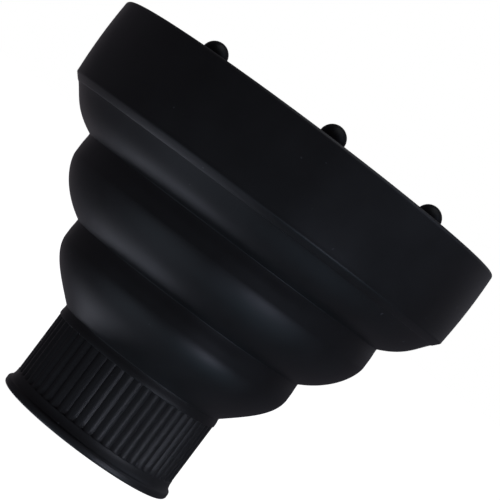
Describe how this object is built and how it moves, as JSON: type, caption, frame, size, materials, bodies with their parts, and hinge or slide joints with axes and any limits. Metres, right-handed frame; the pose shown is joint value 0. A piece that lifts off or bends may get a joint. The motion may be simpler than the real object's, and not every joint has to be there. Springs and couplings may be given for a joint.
{
  "type": "dryer diffuser",
  "caption": "Collapsible hair dryer diffuser: ribbed soft neck, stepped folding bowl, wide rim and a perforated face plate with rounded hollow fingers.",
  "frame": {"origin": "centre of the neck's lower face, which the part stands on", "axes": "+Z along the neck's axis towards the fingers, the way the air leaves; +X and +Y square to it, with one long finger 6 degrees from -Y towards +X"},
  "size_m": [0.14, 0.14, 0.1205],
  "materials": {
    "soft_body": "matte",
    "plate": "satin",
    "fingers": "satin"
  },
  "bodies": {
    "neck_body": {"neck": "soft_body", "lower_shoulder": "soft_body"},
    "lower_ring": {"lower_wall": "soft_body", "middle_shoulder": "soft_body"},
    "middle_ring": {"middle_wall": "soft_body", "upper_shoulder": "soft_body"},
    "rim_body": {"rim_shell": "soft_body", "face_plate": "plate", "finger_1": "fingers", "finger_2": "fingers", "finger_3": "fingers", "finger_4": "fingers", "finger_5": "fingers", "finger_6": "fingers", "inner_finger_1": "fingers", "inner_finger_2": "fingers", "inner_finger_3": "fingers", "inner_finger_4": "fingers", "inner_finger_5": "fingers", "inner_finger_6": "fingers"}
  },
  "joints": [
    {"name": "lower_fold", "type": "slide", "parent": "neck_body", "child": "lower_ring", "axis": [0, 0, 1], "range_m": [-0.023, 0], "deforming": ["lower_shoulder"]},
    {"name": "middle_fold", "type": "slide", "parent": "lower_ring", "child": "middle_ring", "axis": [0, 0, 1], "range_m": [-0.021, 0], "deforming": ["middle_shoulder"]},
    {"name": "upper_fold", "type": "slide", "parent": "middle_ring", "child": "rim_body", "axis": [0, 0, 1], "range_m": [-0.016, 0], "deforming": ["upper_shoulder"]}
  ]
}
